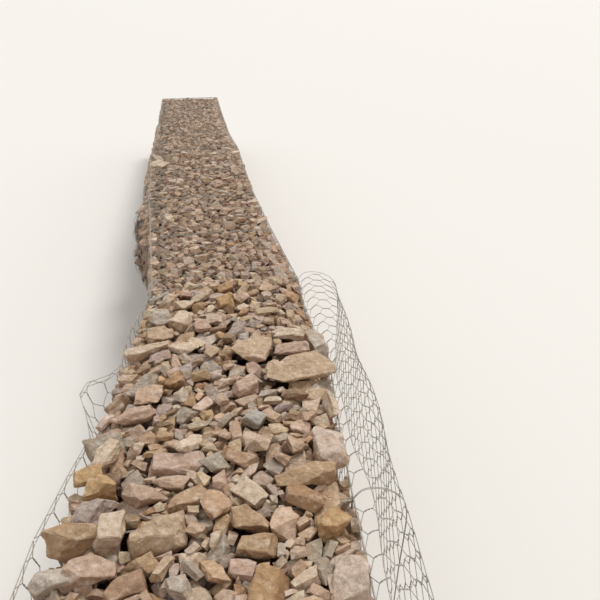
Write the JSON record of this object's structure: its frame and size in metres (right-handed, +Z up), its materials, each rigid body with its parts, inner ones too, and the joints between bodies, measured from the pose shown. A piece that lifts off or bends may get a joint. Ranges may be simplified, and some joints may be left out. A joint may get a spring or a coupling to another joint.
{
  "type": "gabion wall",
  "caption": "Low river wall of woven-wire baskets packed with broken stone, some lidded and some still open with their lids thrown back.",
  "frame": {"origin": "on the ground, on the wall's centreline, in the middle of its run where the third and fourth baskets meet", "axes": "+Y along the wall away from its open near end, +X to the river side over which the open lids hang, +Z up"},
  "size_m": [1.5876, 12.0093, 1.0873],
  "materials": {
    "broken_stone": "rough",
    "galvanised_wire": "dull"
  },
  "bodies": {
    "root": {"bank_panel_1": "galvanised_wire", "bank_panel_2": "galvanised_wire", "bank_panel_3": "galvanised_wire", "bank_panel_4": "galvanised_wire", "bank_panel_5": "galvanised_wire", "bank_panel_6": "galvanised_wire", "base_panel_1": "galvanised_wire", "base_panel_2": "galvanised_wire", "base_panel_3": "galvanised_wire", "base_panel_4": "galvanised_wire", "base_panel_5": "galvanised_wire", "base_panel_6": "galvanised_wire", "closed_lid_3": "galvanised_wire", "closed_lid_4": "galvanised_wire", "closed_lid_5": "galvanised_wire", "closed_lid_6": "galvanised_wire", "diaphragm_1": "galvanised_wire", "diaphragm_2": "galvanised_wire", "diaphragm_3": "galvanised_wire", "diaphragm_4": "galvanised_wire", "diaphragm_5": "galvanised_wire", "diaphragm_6": "galvanised_wire", "end_panels_1": "galvanised_wire", "end_panels_2": "galvanised_wire", "end_panels_3": "galvanised_wire", "end_panels_4": "galvanised_wire", "end_panels_5": "galvanised_wire", "end_panels_6": "galvanised_wire", "open_lid_1": "galvanised_wire", "open_lid_2": "galvanised_wire", "river_panel_1": "galvanised_wire", "river_panel_2": "galvanised_wire", "river_panel_3": "galvanised_wire", "river_panel_4": "galvanised_wire", "river_panel_5": "galvanised_wire", "river_panel_6": "galvanised_wire", "stone_fill_1": "broken_stone", "stone_fill_2": "broken_stone", "stone_fill_3": "broken_stone", "stone_fill_4": "broken_stone", "stone_fill_5": "broken_stone", "stone_fill_6": "broken_stone"}
  },
  "joints": []
}
